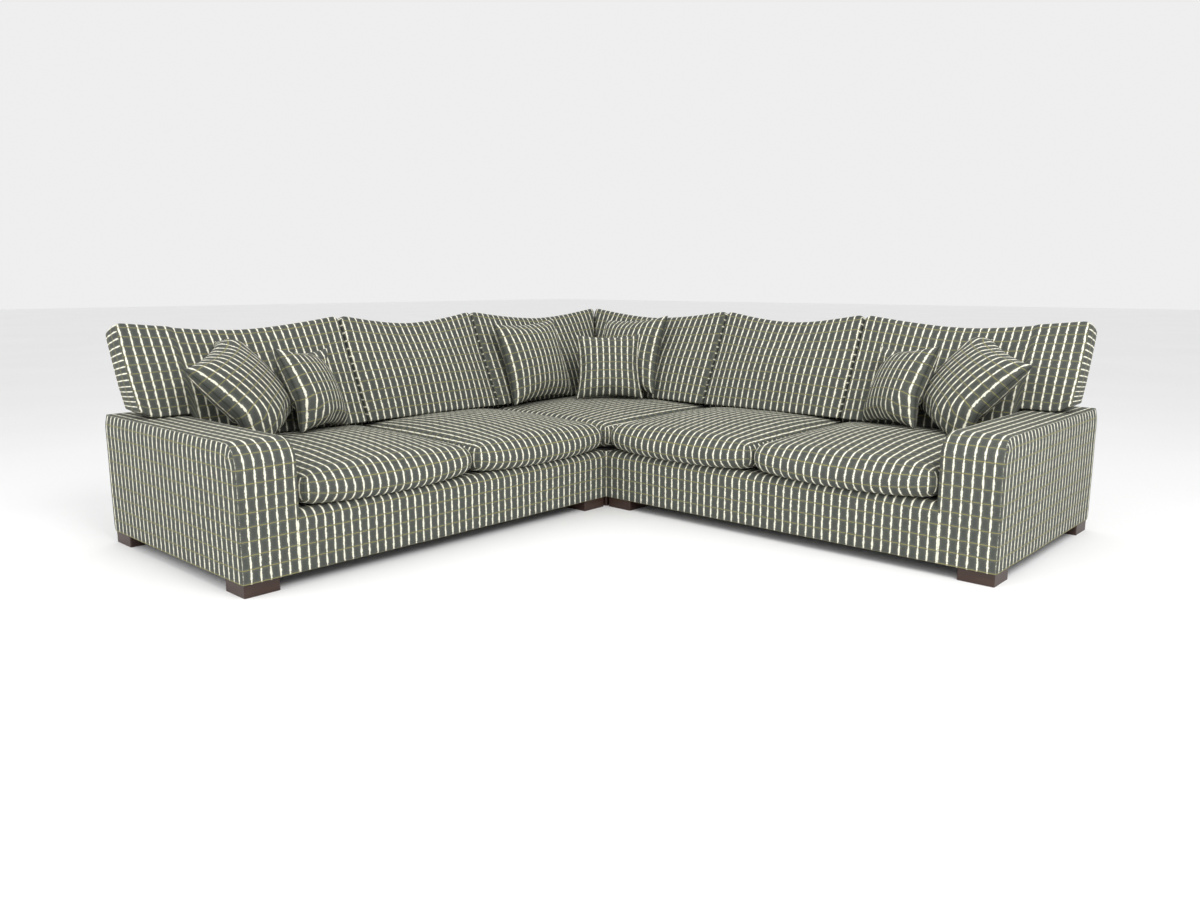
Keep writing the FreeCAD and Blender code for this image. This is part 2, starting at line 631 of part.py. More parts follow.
# The corner seat is a slab with a domed top, pressed flat where the two back cushions stand.
corner_half = (seat_depth - side_gap) / 2
corner_centre = vec(-side_gap - corner_half, side_gap + corner_half, 0)
front_top = size("seat_front_top")
dome = (size("seat_rest_height") - front_top + size("seat_crown")) * 0.8
corner_rings = [square_ring(corner_half, seat_bottom, 0, 1, corner_centre)]
corner_rings += [square_ring(corner_half * k, front_top + dome * h, 0, 1, corner_centre)
                 for k, h in crown(6, 1)]
corner_cover = ringed_solid(corner_rings)
clear, rest = size("clear_seat") - 3, size("seat_rest_height")
for pressed in (block(-seat_back, 0, clear, seat_back, rest, rest + 2 * dome),
                block(-seat_back, -clear, 0, seat_back, rest, rest + 2 * dome)):
    corner_cover = corner_cover.cut(pressed)
corner_span = 2 * corner_half
seats["corner"] = add_seat(corner_cover, "corner", -side_gap - corner_span, -side_gap,
                           side_gap, side_gap + corner_span)

BACK_SHRINK = 0.03
cushion_foot = size("seat_rest_height") + gap


def back_section(x, k):
    """Back cushion from the side: it stands on the seat, lies on the leaning back and bulges forward."""
    lying = vec(0, slope, 1).normalize()
    across = vec(0, -lying.z, lying.y)
    thickness = size("back_cushion_thickness")
    face = seat_back - gap / lying.z
    shoulder = size("back_shoulder")
    high_back_z = size("back_cushion_top") - thickness * across.z
    foot_back = vec(x, face + (cushion_foot - shoulder) * slope, cushion_foot)
    high_back = vec(x, face + (high_back_z - shoulder) * slope, high_back_z)
    high_front = high_back + across * thickness
    foot_front = vec(x, size("clear_seat"), cushion_foot)

    def at(p):
        return foot_back + (p - foot_back) * k

    forward = at(foot_front) - at(high_front)
    return Part.Wire([
        line(at(foot_front), at(foot_back)), line(at(foot_back), at(high_back)),
        arc(at(high_back), at(high_front), vec(0, lying.y, lying.z), size("back_cushion_dome") * k),
        arc(at(high_front), at(foot_front), vec(0, forward.z, -forward.y),
            size("back_cushion_crown") * k)])


def back_cushion(start, end):
    return section_loft(back_section, start, end - start, size("back_cushion_shoulder"), BACK_SHRINK)


backs = {}
seam = size("seat_width")
backs["inner_right"] = back_cushion(side_gap, seam - side_gap)
far_end = outside - size("end_inset")
over_arm = arm_top + size("over_arm_space")
notch = block(run - side_gap, far_end + 1, 0, depth, 0, over_arm)
backs["end_right"] = back_cushion(seam + side_gap, far_end).cut(notch)

# The corner back cushion is mitred where it meets its mirrored twin.
corner_back = back_cushion(-depth, -side_gap)
mitre = Part.makeBox(3 * depth, 6 * depth, 2 * depth, vec(side_gap - 3 * depth, -3 * depth, 0))
mitre.rotate(vec(0, 0, 0), vec(0, 0, 1), 45)
backs["corner_right"] = corner_back.cut(mitre)
for name, solid in backs.items():
    shape_part(solid, f"back_cushion_{name}")

# Scatter cushions: two square faces sewn edge to edge, full in the middle, with pointed corners.
def scatter(side, fill):
    """A square cushion lying flat, its sides drawn in between pointed corners."""
    half = side / 2
    upper = [square_ring(half * k, fill / 2 * h, half * k * size("scatter_draw_in"), 6)
             for k, h in crown(6, 1.3)]
    lower = [[vec(p.x, p.y, -p.z) for p in ring] for ring in reversed(upper[1:])]
    return ringed_solid(lower + upper)


def moved(shape, place):
    """A copy of a shape in another place, with the move written into its surfaces."""
    shape = shape.copy()
    shape.transformShape(place.toMatrix(), True)
    return shape


def turned(shape, facing, lean_back, roll, centre):
    """Stand a scatter cushion up: it faces a compass angle, leans back and rolls in its own plane."""
    turn = FreeCAD.Rotation(vec(0, 0, 1), facing + 90)
    turn = turn * FreeCAD.Rotation(vec(1, 0, 0), 90 - lean_back) * FreeCAD.Rotation(vec(0, 0, 1), roll)
    return moved(shape, FreeCAD.Placement(centre, turn))


depth_limit = size("large_scatter") * 2


def pressed(shape, centre, way, depth):
    """Flatten a cushion square to a direction, a distance from its middle, where it is pressed."""
    beyond = Part.makeBox(depth_limit, depth_limit, depth_limit,
                          vec(-depth_limit / 2, -depth_limit / 2, depth))
    beyond.Placement = FreeCAD.Placement(centre, FreeCAD.Rotation(vec(0, 0, 1), way))
    return shape.cut(beyond).Solids[0]


def slide(shape, way, supports):
    """Move a shape along a direction until it is a rest gap away from the nearest support."""
    for _ in range(12):
        spare = min(shape.distToShape(other)[0] for other in supports) - gap
        if spare < 0.1:
            break
        shape = moved(shape, FreeCAD.Placement(way * spare, FreeCAD.Rotation()))
    return shape


def lift_clear(shape, seat):
    """Raise a shape in small steps until it is a rest gap away from the seat."""
    while shape.distToShape(seat)[0] < gap:
        shape = moved(shape, FreeCAD.Placement(vec(0, 0, 1), FreeCAD.Rotation()))
    return shape


def upper_side(shape):
    """The faces of a cushion that look upwards, on which another can rest or lean."""
    faces = []
    for face in shape.Faces:
        u_low, u_high, v_low, v_high = face.ParameterRange
        if face.normalAt((u_low + u_high) / 2, (v_low + v_high) / 2).z > 0.05:
            faces.append(face)
    return Part.makeCompound(faces)


DOWN = vec(0, 0, -1)


def settle(shape, seat, behind, way):
    """Lower a scatter cushion onto its seat, slide it back against what is behind, then lower again."""
    seat = upper_side(seat)
    behind = [upper_side(other) for other in behind]
    shape = slide(shape, DOWN, [seat])
    for _ in range(2):
        shape = lift_clear(slide(shape, way, behind), seat)
    return slide(shape, DOWN, [seat] + behind)


large = scatter(size("large_scatter"), size("large_scatter_fill"))
small = scatter(size("small_scatter"), size("small_scatter_fill"))
left_back = backs["corner_right"].mirror(vec(0, 0, 0), vec(1, 1, 0))
above = arm_top + size("large_scatter")
clear = size("clear_seat")
BACKWARDS = vec(0, 1, 0)
INTO_BACK = vec(0, 1, -slope).normalize()

# The large one leans into the corner of arm and back, the small one stands beside it.
middle = vec(run - size("large_from_arm"), clear * 0.6, above)
scatter_large = turned(large, -122, 37, -20, middle)
scatter_large = pressed(scatter_large, middle, DOWN, size("large_pressed_below"))
scatter_large = pressed(scatter_large, middle, INTO_BACK, size("large_pressed_behind"))
scatter_large = settle(scatter_large, seats["end_right"], [backs["end_right"]], BACKWARDS)
shape_part(scatter_large, "scatter_large_right")
middle = vec(run - size("small_from_arm"), clear * 0.6, above)
scatter_small = turned(small, -127, 25, 6, middle)
scatter_small = pressed(scatter_small, middle, DOWN, size("small_pressed_below"))
scatter_small = settle(scatter_small, seats["end_right"], [backs["end_right"], scatter_large],
                       BACKWARDS)
shape_part(scatter_small, "scatter_small_right")

# In the corner two large ones lean on the two backs, and the small one faces out between them.
half_large = size("large_scatter") / 2
corner_large_left = settle(
    turned(large, 0, 18, 2, vec(-clear * 0.6, size("corner_left_in") + half_large, above)),
    seats["corner"], [left_back], vec(-1, 0, 0))
shape_part(corner_large_left, "scatter_corner_large_left")
corner_large_right = settle(
    turned(large, -90, 20, 4, vec(-size("corner_right_in") - half_large, clear * 0.6, above)),
    seats["corner"], [backs["corner_right"]], BACKWARDS)
shape_part(corner_large_right, "scatter_corner_large_right")
corner_small = settle(
    turned(small, -45, 23, 0, vec(-clear * 0.3, clear * 0.4, above)),
    seats["corner"], [corner_large_left, corner_large_right], vec(-1, 1, 0).normalize())
shape_part(corner_small, "scatter_corner_small")

# The left wing and the twin of the corner back cushion mirror the right-hand pieces.
for item in list(doc.Objects):
    label = item.Label
    if label.endswith("_right") and label != "scatter_corner_large_right":
        twin = mirrored(item)
        twin.Label = label[:-len("right")] + "left"
doc.recompute()

# Every piece is checked before any file is written.
pieces = [item for item in doc.Objects
          if item.Label.split("_")[0] in ("seat", "back", "scatter", "arm", "feet", "foot",
                                          "unit", "base", "dust")]
failed = [item.Label for item in doc.Objects if "Invalid" in item.State or "Error" in item.State]
failed += [item.Label for item in pieces if item.Shape.isNull() or not item.Shape.isValid()]
if failed:
    raise SystemExit(f"these pieces failed: {failed}")
os.makedirs("parts", exist_ok=True)
for item in pieces:
    item.Shape.exportStep(f"parts/{item.Label}.step")
print(len(pieces), "pieces written")
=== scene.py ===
import math

import bpy
import numpy as np
from mathutils import Euler, Matrix, Vector, noise
from mathutils.bvhtree import BVHTree


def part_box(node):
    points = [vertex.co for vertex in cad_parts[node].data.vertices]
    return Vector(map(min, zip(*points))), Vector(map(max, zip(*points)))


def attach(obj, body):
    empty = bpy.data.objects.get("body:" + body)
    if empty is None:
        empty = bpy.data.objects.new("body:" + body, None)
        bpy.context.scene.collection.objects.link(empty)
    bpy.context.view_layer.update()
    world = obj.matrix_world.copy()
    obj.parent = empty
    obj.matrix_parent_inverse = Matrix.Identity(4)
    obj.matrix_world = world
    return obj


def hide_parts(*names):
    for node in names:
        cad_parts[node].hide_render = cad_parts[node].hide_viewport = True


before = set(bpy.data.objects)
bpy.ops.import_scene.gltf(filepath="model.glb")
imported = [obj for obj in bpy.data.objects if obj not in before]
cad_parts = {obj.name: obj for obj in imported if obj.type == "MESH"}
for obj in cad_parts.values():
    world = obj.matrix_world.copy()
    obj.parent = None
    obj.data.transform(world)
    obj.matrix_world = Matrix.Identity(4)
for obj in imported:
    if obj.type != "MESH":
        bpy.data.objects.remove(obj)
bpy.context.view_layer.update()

# The cover is a heavy woven cloth: ragged cream stripes, thin olive cross lines and a dark grey-green
# ground with darker cells between them. It is cut in flat panels, so the pattern lies in each panel's
# own coordinates, in metres, and the rough yarn keeps it matt.
# STRIPE and CROSS are the distances between stripes and between cross lines.
STRIPE, CROSS = 0.0363, 0.0495


def add(tree, kind, inputs=(), **settings):
    item = tree.nodes.new(kind)
    for name, value in settings.items():
        setattr(item, name, value)
    for key, value in dict(inputs).items():
        if isinstance(value, bpy.types.NodeSocket):
            tree.links.new(value, item.inputs[key])
        else:
            item.inputs[key].default_value = value
    return item


def calculator(tree):
    """A function that adds one calculation to this material."""
    def calc(operation, *values, clamp=False):
        item = add(tree, "ShaderNodeMath", dict(enumerate(values)), operation=operation)
        item.use_clamp = clamp
        return item.outputs[0]
    return calc


def linear(code):
    """Scene-linear colour of an sRGB hex code."""
    parts = [int(code[i:i + 2], 16) / 255 for i in (0, 2, 4)]
    return [c / 12.92 if c <= 0.04045 else ((c + 0.055) / 1.055) ** 2.4 for c in parts] + [1.0]


def new_material(name, roughness, sheen=0.0, specular=0.3):
    material = bpy.data.materials.new(name)
    material.use_nodes = True
    tree = material.node_tree
    tree.nodes.clear()
    shader = add(tree, "ShaderNodeBsdfPrincipled", {
        "Roughness": roughness, "Sheen Weight": sheen, "Specular IOR Level": specular})
    add(tree, "ShaderNodeOutputMaterial", {"Surface": shader.outputs[0]})
    return material, tree, shader


def grain(tree, vector, scale, detail=3.0, rough=0.5):
    """Uneven colour or height, between 0 and 1."""
    item = add(tree, "ShaderNodeTexNoise", {
        "Vector": vector, "Scale": scale, "Detail": detail, "Roughness": rough})
    return item.outputs["Fac"]


def blend_colour(tree, share, first, second):
    item = add(tree, "ShaderNodeMix", {0: share, 6: first, 7: second}, data_type="RGBA")
    return item.outputs[2]


def striped_cloth():
    """Woven wool-like cover: matt, soft at its edges, with slubs in the ground, sunken seams and painted
    shade along them.
    """
    material, tree, shader = new_material("striped_cloth", 0.92, sheen=0.05, specular=0.15)
    calc = calculator(tree)
    uv = add(tree, "ShaderNodeUVMap", uv_map="weave").outputs[0]
    parts = add(tree, "ShaderNodeSeparateXYZ", {0: uv})
    u, v = parts.outputs[0], parts.outputs[1]

    def stretched(along_u, along_v, detail=2.0):
        place = add(tree, "ShaderNodeCombineXYZ", {
            0: calc("MULTIPLY", u, along_u), 1: calc("MULTIPLY", v, along_v)}).outputs[0]
        return calc("SUBTRACT", grain(tree, place, 1.0, detail), 0.5)

    slow = calc("MULTIPLY", stretched(9.0, 14.0), 0.004)
    quick = calc("MULTIPLY", stretched(26.0, 60.0), 0.0034)
    wander = calc("ADD", slow, quick)
    across = calc("PINGPONG", calc("ADD", u, wander), STRIPE / 2)
    wavy = calc("MULTIPLY", stretched(70.0, 20.0), 0.004)
    along = calc("PINGPONG", calc("ADD", v, wavy), CROSS / 2)
    ragged = calc("MULTIPLY", stretched(70.0, 230.0, 4.0), 0.0105)
    fuller = calc("MULTIPLY", calc("DIVIDE", along, CROSS / 2), 0.0018)
    half = calc("ADD", calc("ADD", fuller, ragged), 0.0022)
    cream = calc("MULTIPLY_ADD", calc("SUBTRACT", half, across), 1500.0, 0.5, clamp=True)
    thread = calc("MULTIPLY", stretched(300.0, 60.0), 0.0016)
    line = calc("SUBTRACT", calc("ADD", 0.00150, thread), along)
    olive = calc("MULTIPLY_ADD", line, 1400.0, 0.5, clamp=True)
    cream = calc("MULTIPLY", cream, calc("MULTIPLY_ADD", olive, -0.9, 1.0))
    beside = calc("MULTIPLY_ADD", calc("SUBTRACT", across, 0.0105), 600.0, 0.5, clamp=True)
    between = calc("MULTIPLY_ADD", calc("SUBTRACT", along, 0.0075), 400.0, 0.5, clamp=True)
    cell = calc("MULTIPLY", beside, between)
    slub = stretched(60.0, 900.0, 3.0)
    yarn = stretched(1400.0, 1400.0, 1.0)
    cloud = stretched(5.0, 5.0)
    tone = calc("MULTIPLY_ADD", cell, -0.22, calc("MULTIPLY_ADD", slub, 0.9, 0.55), clamp=True)
    ground = blend_colour(tree, tone, linear("3b3e3a"), linear("6b6e67"))
    colour = blend_colour(tree, olive, ground, linear("8f8a58"))
    colour = blend_colour(tree, cream, colour, linear("f3f0dc"))
    seam = add(tree, "ShaderNodeAttribute", attribute_name="seam").outputs["Fac"]
    # groove is 1 on a seam and falls to 0 within 2.5 mm of it. It sinks the seam in the bump below and also
    # darkens the colour there as painted shade.
    groove = calc("MULTIPLY_ADD", seam, -400.0, 1.0, clamp=True)
    shade = calc("ADD", calc("MULTIPLY_ADD", cloud, 0.16, 1.0), calc("MULTIPLY", yarn, 0.22))
    # Painted shade along the seams: the colour is darkened there by up to 45 percent, on top of the random
    # cloud and yarn tone.
    shade = calc("MULTIPLY", shade, calc("MULTIPLY_ADD", groove, -0.45, 1.0))
    shaded = add(tree, "ShaderNodeVectorMath", {0: colour, "Scale": shade}, operation="SCALE")
    tree.links.new(shaded.outputs[0], shader.inputs["Base Color"])
    warp = calc("SINE", calc("MULTIPLY", u, 5200.0))
    weft = calc("SINE", calc("MULTIPLY", v, 5200.0))
    threads = calc("MULTIPLY", warp, weft)
    height = calc("ADD", calc("MULTIPLY", threads, 0.25), calc("MULTIPLY_ADD", cream, 0.35, slub))
    height = calc("MULTIPLY_ADD", groove, -3.0, height)
    bump = add(tree, "ShaderNodeBump", {"Strength": 0.5, "Distance": 0.0007, "Height": height})
    tree.links.new(bump.outputs[0], shader.inputs["Normal"])
    return material


CLOTH = striped_cloth()

# The frames are planed softwood, the feet stained hardwood screwed up into the frames' corners, the
# straps woven elastic and the bolts zinc-plated steel. Their solids have the right shapes and stay.

def plain(name, dark, light, roughness, scale, stretch=(1, 1, 1), depth=0.0006, strength=0.4,
          sheen=0.0, metallic=0.0, specular=0.3, weave=0.0):
    material, tree, shader = new_material(name, roughness, sheen, specular)
    calc = calculator(tree)
    place = add(tree, "ShaderNodeTexCoord").outputs["Object"]
    drawn = add(tree, "ShaderNodeVectorMath", {0: place, 1: stretch}, operation="MULTIPLY").outputs[0]
    coarse = grain(tree, drawn, scale, 4.0, 0.6)
    fine = grain(tree, drawn, scale * 9, 2.0)
    tone = calc("MULTIPLY_ADD", fine, 0.35, calc("MULTIPLY", coarse, 0.8), clamp=True)
    tree.links.new(blend_colour(tree, tone, linear(dark), linear(light)), shader.inputs["Base Color"])
    height = calc("ADD", fine, coarse)
    if weave:
        parts = add(tree, "ShaderNodeSeparateXYZ", {0: place})
        waves = [calc("SINE", calc("MULTIPLY", parts.outputs[i], weave)) for i in range(3)]
        height = calc("ADD", height, calc("MULTIPLY", calc("ADD", waves[0], waves[1]), waves[2]))
        height = calc("ADD", height, calc("MULTIPLY", waves[0], waves[1]))
    bump = add(tree, "ShaderNodeBump", {"Strength": strength, "Distance": depth, "Height": height})
    tree.links.new(bump.outputs[0], shader.inputs["Normal"])
    shader.inputs["Metallic"].default_value = metallic
    return material


# Elastic straps: black and grey ribs, dull. Planed softwood: pale, with grain along each rail's length.
WEBBING = plain("webbing", "1a1a1a", "3c3c3a", 0.9, 40, weave=2200.0, sheen=0.1)
TIMBER = plain("frame_timber", "9a6f3c", "d1ab72", 0.7, 9, stretch=(0.25, 0.25, 3.0), depth=0.0004)
# Stained hardwood: near-black brown with a satin gleam. Zinc-plated steel: bright grey, finely drawn.
FOOT = plain("foot_timber", "1d120d", "49332a", 0.42, 26, stretch=(0.16, 0.16, 2.0), depth=0.0003,
             strength=0.5, specular=0.45)
STEEL = plain("steel", "8c8f93", "b9bcc0", 0.35, 60, stretch=(0.1, 1, 1), depth=0.0001, metallic=1.0)
# Each solid whose name starts so keeps its shape and gets this finish.
CAD_LOOK = {"seat_frame": TIMBER, "back_frame": TIMBER, "arm_frame": TIMBER, "feet": FOOT,
            "unit_bolts": STEEL, "seat_webbing": WEBBING, "back_webbing": WEBBING}
for name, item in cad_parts.items():
    for start, material in CAD_LOOK.items():
        if name.startswith(start):
            item.data.materials.clear()
            item.data.materials.append(material)

# Seat cushions are boxed covers over a foam block wrapped in fibre, lying loose on the deck: crowned
# tops, full front borders that hang over the base front, and lower edges that arch at the ends.
# Places are from the inner corner of the L; INNER takes them to the row frame, and the left wing
# mirrors the right one.
INNER = np.array([-0.376, 0.376, 0.0])
SIDES = (("right", False), ("left", True))
SEAT_WIDE, SEAM = 0.806, 0.0014
SEAT_HIGH, SEAT_EDGE, SEAT_CROWN, CORNER_CROWN = 0.133, 0.052, 0.044, 0.036
BELLY, END_ARCH, MIDDLE_DROP = 0.024, 0.030, 0.024
BASE_TOP, UNDER_BACK, SEAT_BACK, CLEAR = 0.272, 0.4238, 0.897, 0.761
NOSE_Y, NOSE_Z, NOSE_RADIUS = 0.0455, 0.2268, 0.0447


def spaced(low, high, cell, edge=(0.0, 0.004, 0.009, 0.016, 0.026)):
    """Places along a side, close together near its ends and about a cell apart between."""
    count = max(2, round((high - low - 2 * edge[-1]) / cell) + 1)
    middle = np.linspace(low + edge[-1], high - edge[-1], count)
    near = [low + e for e in edge[:-1]]
    far = [high - e for e in edge[:-1]][::-1]
    return np.concatenate([near, middle, far])


def box_mesh(xs, ys, zs):
    """A box's surface points, its quads, and each quad's axis and whether it is at the far end."""
    sides = (xs, ys, zs)
    found, points, quads, panels = {}, [], [], []
    for axis in range(3):
        a, b = [n for n in range(3) if n != axis]
        for end in (0, len(sides[axis]) - 1):
            for i in range(len(sides[a]) - 1):
                for j in range(len(sides[b]) - 1):
                    ring = [(i, j), (i + 1, j), (i + 1, j + 1), (i, j + 1)]
                    if (end > 0) == (axis == 1):
                        ring.reverse()
                    quad = []
                    for s, t in ring:
                        key = [0, 0, 0]
                        key[axis], key[a], key[b] = end, s, t
                        key = tuple(key)
                        if key not in found:
                            found[key] = len(points)
                            points.append([sides[n][key[n]] for n in range(3)])
                        quad.append(found[key])
                    quads.append(quad)
                    panels.append((axis, end > 0))
    return np.array(points), quads, panels


def rounded(points, low, high, radius):
    """Round a box's edges: points near an edge move onto the radius round the inner box."""
    inner = np.clip(points, np.array(low) + radius, np.array(high) - radius)
    away = points - inner
    length = np.linalg.norm(away, axis=1, keepdims=True)
    reach = np.abs(away).max(axis=1, keepdims=True)
    return inner + np.where(length > 0, away / np.maximum(length, 1e-9) * reach, 0)


def seam_distance(points, low, high):
    """How far each point of a box's surface lies from the nearest edge, where panels are sewn."""
    gaps = np.minimum(points - np.array(low), np.array(high) - points)
    return np.sort(gaps, axis=1)[:, 1]


def mesh_object(name, points, quads, uvs, seams, material, mirror=False, shift=INNER):
    """An object in the row frame; uvs has one pair for each corner of each quad."""
    placed = np.array(points) + shift
    if mirror:
        placed = np.stack([-placed[:, 1], -placed[:, 0], placed[:, 2]], axis=1)
        quads = [quad[::-1] for quad in quads]
        uvs = [pairs[::-1] for pairs in uvs]
    mesh = bpy.data.meshes.new(name)
    mesh.from_pydata([tuple(p) for p in placed], [], quads)
    layer = mesh.uv_layers.new(name="weave")
    flat_pairs = [c for pairs in uvs for pair in pairs for c in pair]
    layer.data.foreach_set("uv", np.array(flat_pairs, float))
    data = mesh.attributes.new("seam", "FLOAT", "POINT")
    data.data.foreach_set("value", np.array(seams, float))
    mesh.polygons.foreach_set("use_smooth", [True] * len(mesh.polygons))
    mesh.materials.append(material)
    mesh.update()
    item = bpy.data.objects.new(name, mesh)
    bpy.context.scene.collection.objects.link(item)
    return item


def finish_piece(item, body, nodes):
    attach(item, body)
    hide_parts(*nodes)
    return item


def ripple(points, scale, seed):
    """Gentle unevenness of stuffed cloth, between minus one and one."""
    places = [Vector((p[0] * scale + seed, p[1] * scale, p[2] * scale)) for p in points]
    return np.array([noise.noise(place) for place in places])


def refine(item):
    """Subdivide a finished cushion once."""
    smoother = item.modifiers.new("finer", "SUBSURF")
    smoother.levels = smoother.render_levels = 1


def seat_cushion(name, x0, x1, y0, body, nodes, mirror=False, corner=False):
    """One boxed seat cover between x0 and x1, its front at y0."""
    width, long, high = x1 - x0, SEAT_BACK - y0 - 0.0008, SEAT_HIGH
    xs, ys = spaced(0, width, 0.016), spaced(0, long, 0.016)
    zs = spaced(0, high, 0.016)
    flat, quads, panels = box_mesh(xs, ys, zs)
    box = rounded(flat, (0, 0, 0), (width, long, high), SEAT_EDGE)
    x, y, z = box.T
    across = 2 * x / width - 1
    level = np.clip(z / high, 0, 1)
    side = 1 - np.abs(across) ** 2.6
    back = np.clip(y / CLEAR, 0, 1)
    depthwise = np.sin(np.pi * np.clip(y / (CLEAR + 0.10), 0, 1)) ** 0.7
    crown = (CORNER_CROWN if corner else SEAT_CROWN) * side * depthwise
    top = (high - 0.008) + 0.010 * back + crown + 0.002 * ripple(box, 7, 3.1 + x0)
    arch = END_ARCH * (1 - side) - MIDDLE_DROP * side * (y < 0.05)
    arch *= np.exp(-y / 0.05)
    tall = np.where(z > 0, level * (top - arch) + arch, arch)
    limit = UNDER_BACK - BASE_TOP
    stands = y > CLEAR - 0.012
    if corner:
        stands |= x < width - CLEAR + 0.012
    tall = np.where(stands, np.minimum(tall, limit), tall)
    belly = np.sin(np.pi * level)
    out_y = y - (0.0 if corner else BELLY) * belly * (1 - np.abs(across) ** 4) * np.exp(-y / 0.03)
    pull = 0.0035 * (1 - belly)
    out_x = x - np.sign(across) * pull * (np.abs(across) > 0.9)
    before = NOSE_Y - np.clip(out_y, 0, NOSE_Y)
    nose = NOSE_Z + np.sqrt(np.clip(NOSE_RADIUS ** 2 - before ** 2, 0, None))
    lowest = np.where(out_y < 0.0005, 0.236, nose) + 0.0008
    out_z = np.maximum(tall + BASE_TOP + 0.0004, lowest)
    shape = np.stack([out_x + x0, out_y + y0, out_z], axis=1)
    uvs = []
    for quad, (axis, far) in zip(quads, panels):
        p = flat[quad]
        if axis == 0:
            uvs.append([(c[1] + 0.011, c[2]) for c in p])
        elif axis == 1:
            uvs.append([(c[0] + 0.018, c[2]) for c in p])
        else:
            uvs.append([(c[0] + 0.018, c[1] + high) for c in p])
    seams = seam_distance(flat, (0, 0, 0), (width, long, high))
    item = mesh_object(name, shape, quads, uvs, seams, CLOTH, mirror)
    refine(item)
    finish_piece(item, body, nodes)
    return item


seats = {}
for side, mirror in SIDES:
    for number, place in enumerate(("inner", "end")):
        seats[place, side] = seat_cushion(
            f"seat_{place}_{side}_cover", number * SEAT_WIDE + SEAM, (number + 1) * SEAT_WIDE - SEAM, 0.0,
            f"seat_{place}_{side}", [f"seat_cushion_{place}_{side}"], mirror)
seats["corner"] = seat_cushion("seat_corner_cover", -0.8962, -SEAM, SEAM, "seat_corner",
                               ["seat_cushion_corner"], corner=True)

# Back cushions are boxed covers filled with fibre: leaning, full in front, their tops sagging between
# raised corners. The end ones step up over the arms, and the corner pair meets in a mitre.
RUN = 1.612
LEAN = math.tan(math.radians(24.8))
FOOT_Z, TOP_Z, THICK = 0.4250, 0.902, 0.124
BACK_TALL, BACK_DEEP, EAR = 0.52, 0.13, 0.034
FULL_FRONT, SAG, OVER_ARM = 0.036, 0.052, 0.5385
SINE, COSINE = LEAN / math.hypot(1, LEAN), 1 / math.hypot(1, LEAN)
HIGH_BACK = np.array([SEAT_BACK - 0.0006 + (TOP_Z - THICK * SINE - 0.430) * LEAN, TOP_Z - THICK * SINE])
HIGH_FRONT = HIGH_BACK + THICK * np.array([-COSINE, SINE])
FOOT_FRONT = np.array([CLEAR, FOOT_Z])
FOOT_BACK = np.array([SEAT_BACK - 0.0006 + (FOOT_Z - 0.430) * LEAN, FOOT_Z])


def smooth(t):
    t = np.clip(t, 0, 1)
    return t * t * (3 - 2 * t)


